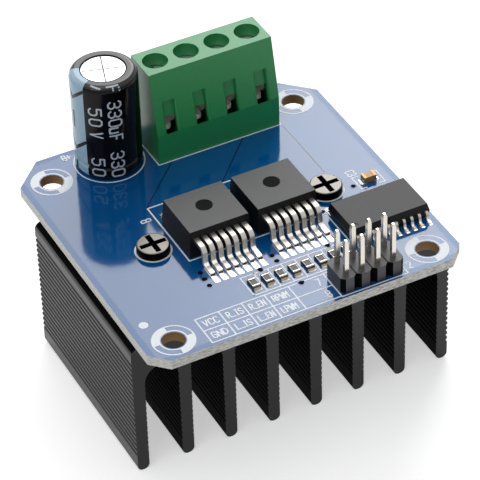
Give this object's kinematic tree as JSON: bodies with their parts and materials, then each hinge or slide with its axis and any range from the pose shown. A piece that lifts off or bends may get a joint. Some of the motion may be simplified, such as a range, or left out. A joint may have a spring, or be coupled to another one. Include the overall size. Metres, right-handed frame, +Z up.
{
  "type": "dc motor driver module",
  "caption": "Square motor driver circuit board with power chips, screw terminals, a capacitor and a pin header, screwed on a finned heat sink.",
  "frame": {"origin": "on the surface the fin tips stand on, under the middle of the bounding box", "axes": "+X right along the board's front edge, +Y to the edge with the screw terminals, +Z up out of the component side"},
  "size_m": [0.0516, 0.05, 0.042],
  "materials": {
    "board_laminate": "glossy blue solder mask on glass-fibre laminate",
    "black_anodised": "black anodised, extruded",
    "thermal_pad": "soft silicone sheet",
    "nickel_steel": "nickel plated",
    "green_nylon": "moulded, satin",
    "zinc_steel": "zinc plated",
    "tinned_brass": "tin plated",
    "can_aluminium": "bare drawn aluminium",
    "sleeve_film": "shrunk printed film",
    "seal_rubber": "moulded rubber",
    "solder": "bright solder",
    "tinned_leads": "tinned copper",
    "moulding_compound": "moulded epoxy, fine matt",
    "resistor_glaze": "black glaze on alumina",
    "end_cap_tin": "tin plated end caps",
    "tan_ceramic": "tan barium titanate ceramic",
    "header_plastic": "moulded thermoplastic"
  },
  "bodies": {
    "module": {"capacitor_can": "can_aluminium", "capacitor_leads": "tinned_leads", "capacitor_seal": "seal_rubber", "capacitor_sleeve": "sleeve_film", "capacitor_solder": "solder", "ceramic_capacitor_body": "tan_ceramic", "ceramic_capacitor_caps": "end_cap_tin", "circuit_board": "board_laminate", "header_base": "header_plastic", "header_pin_1": "tinned_brass", "header_pin_2": "tinned_brass", "header_pin_3": "tinned_brass", "header_pin_4": "tinned_brass", "header_pin_5": "tinned_brass", "header_pin_6": "tinned_brass", "header_pin_7": "tinned_brass", "header_pin_8": "tinned_brass", "header_solder": "solder", "heat_sink": "black_anodised", "heat_sink_screws": "nickel_steel", "left_driver_body": "moulding_compound", "left_driver_leads": "tinned_leads", "left_driver_tab": "tinned_leads", "logic_chip_body": "moulding_compound", "logic_chip_leads": "tinned_leads", "resistor_body_1": "resistor_glaze", "resistor_body_2": "resistor_glaze", "resistor_body_3": "resistor_glaze", "resistor_body_4": "resistor_glaze", "resistor_body_5": "resistor_glaze", "resistor_body_6": "resistor_glaze", "resistor_body_7": "resistor_glaze", "resistor_body_8": "resistor_glaze", "resistor_caps_1": "end_cap_tin", "resistor_caps_2": "end_cap_tin", "resistor_caps_3": "end_cap_tin", "resistor_caps_4": "end_cap_tin", "resistor_caps_5": "end_cap_tin", "resistor_caps_6": "end_cap_tin", "resistor_caps_7": "end_cap_tin", "resistor_caps_8": "end_cap_tin", "right_driver_body": "moulding_compound", "right_driver_leads": "tinned_leads", "right_driver_tab": "tinned_leads", "terminal_contact_1": "tinned_brass", "terminal_contact_2": "tinned_brass", "terminal_contact_3": "tinned_brass", "terminal_contact_4": "tinned_brass", "terminal_housing": "green_nylon", "terminal_solder": "solder", "thermal_pad": "thermal_pad"},
    "clamp_screw_1": {"terminal_screw_1": "zinc_steel"},
    "clamp_cage_1": {"terminal_cage_1": "zinc_steel"},
    "clamp_screw_2": {"terminal_screw_2": "zinc_steel"},
    "clamp_cage_2": {"terminal_cage_2": "zinc_steel"},
    "clamp_screw_3": {"terminal_screw_3": "zinc_steel"},
    "clamp_cage_3": {"terminal_cage_3": "zinc_steel"},
    "clamp_screw_4": {"terminal_screw_4": "zinc_steel"},
    "clamp_cage_4": {"terminal_cage_4": "zinc_steel"}
  },
  "joints": [
    {"name": "cage_lift_1", "type": "slide", "parent": "module", "child": "clamp_cage_1", "axis": [0, 0, 1], "range_m": [0, 0.002]},
    {"name": "screw_turn_1", "type": "hinge", "parent": "module", "child": "clamp_screw_1", "pos_m": [-0.00192, 0.0205, 0.0367], "axis": [0, 0, -1], "range_deg": [0, 1440]},
    {"name": "cage_lift_2", "type": "slide", "parent": "module", "child": "clamp_cage_2", "axis": [0, 0, 1], "range_m": [0, 0.002]},
    {"name": "screw_turn_2", "type": "hinge", "parent": "module", "child": "clamp_screw_2", "pos_m": [0.00316, 0.0205, 0.0367], "axis": [0, 0, -1], "range_deg": [0, 1440]},
    {"name": "cage_lift_3", "type": "slide", "parent": "module", "child": "clamp_cage_3", "axis": [0, 0, 1], "range_m": [0, 0.002]},
    {"name": "screw_turn_3", "type": "hinge", "parent": "module", "child": "clamp_screw_3", "pos_m": [0.00824, 0.0205, 0.0367], "axis": [0, 0, -1], "range_deg": [0, 1440]},
    {"name": "cage_lift_4", "type": "slide", "parent": "module", "child": "clamp_cage_4", "axis": [0, 0, 1], "range_m": [0, 0.002]},
    {"name": "screw_turn_4", "type": "hinge", "parent": "module", "child": "clamp_screw_4", "pos_m": [0.01332, 0.0205, 0.0367], "axis": [0, 0, -1], "range_deg": [0, 1440]}
  ],
  "couplings": [
    {"joint": "screw_turn_1", "follows": "cage_lift_1", "rad_per_m": 12566},
    {"joint": "screw_turn_2", "follows": "cage_lift_2", "rad_per_m": 12566},
    {"joint": "screw_turn_3", "follows": "cage_lift_3", "rad_per_m": 12566},
    {"joint": "screw_turn_4", "follows": "cage_lift_4", "rad_per_m": 12566}
  ]
}
